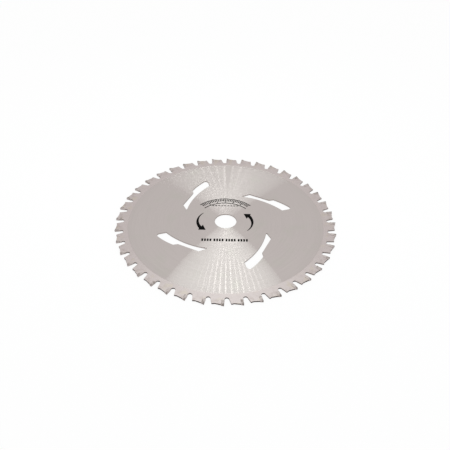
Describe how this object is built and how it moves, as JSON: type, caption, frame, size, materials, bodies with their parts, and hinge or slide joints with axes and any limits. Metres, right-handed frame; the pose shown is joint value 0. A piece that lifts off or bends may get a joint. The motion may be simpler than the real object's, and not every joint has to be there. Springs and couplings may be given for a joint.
{
  "type": "brush cutter blade",
  "caption": "Toothed disc blade for a brush cutter: thin steel plate with a round bore, curved slots, deep gullets and a brazed carbide tip on every tooth.",
  "frame": {"origin": "centre of the bore, halfway through the plate's thickness", "axes": "+Z along the shaft axis towards the printed side, +X through a cutting edge; the blade turns counter-clockwise about +Z"},
  "size_m": [0.255, 0.255, 0.0024],
  "materials": {
    "plate_steel": "ground in circles, with a fine-blasted rim band",
    "carbide": "ground tungsten carbide, slightly heat-tinted where it is brazed",
    "black_print": "thin satin black ink, printed on the upper face"
  },
  "bodies": {
    "root": {"blade_plate": "plate_steel", "tip_01": "carbide", "tip_02": "carbide", "tip_03": "carbide", "tip_04": "carbide", "tip_05": "carbide", "tip_06": "carbide", "tip_07": "carbide", "tip_08": "carbide", "tip_09": "carbide", "tip_10": "carbide", "tip_11": "carbide", "tip_12": "carbide", "tip_13": "carbide", "tip_14": "carbide", "tip_15": "carbide", "tip_16": "carbide", "tip_17": "carbide", "tip_18": "carbide", "tip_19": "carbide", "tip_20": "carbide", "tip_21": "carbide", "tip_22": "carbide", "tip_23": "carbide", "tip_24": "carbide", "tip_25": "carbide", "tip_26": "carbide", "tip_27": "carbide", "tip_28": "carbide", "tip_29": "carbide", "tip_30": "carbide", "tip_31": "carbide", "tip_32": "carbide", "tip_33": "carbide", "tip_34": "carbide", "tip_35": "carbide", "tip_36": "carbide", "tip_37": "carbide", "tip_38": "carbide", "tip_39": "carbide", "tip_40": "carbide"}
  },
  "joints": []
}
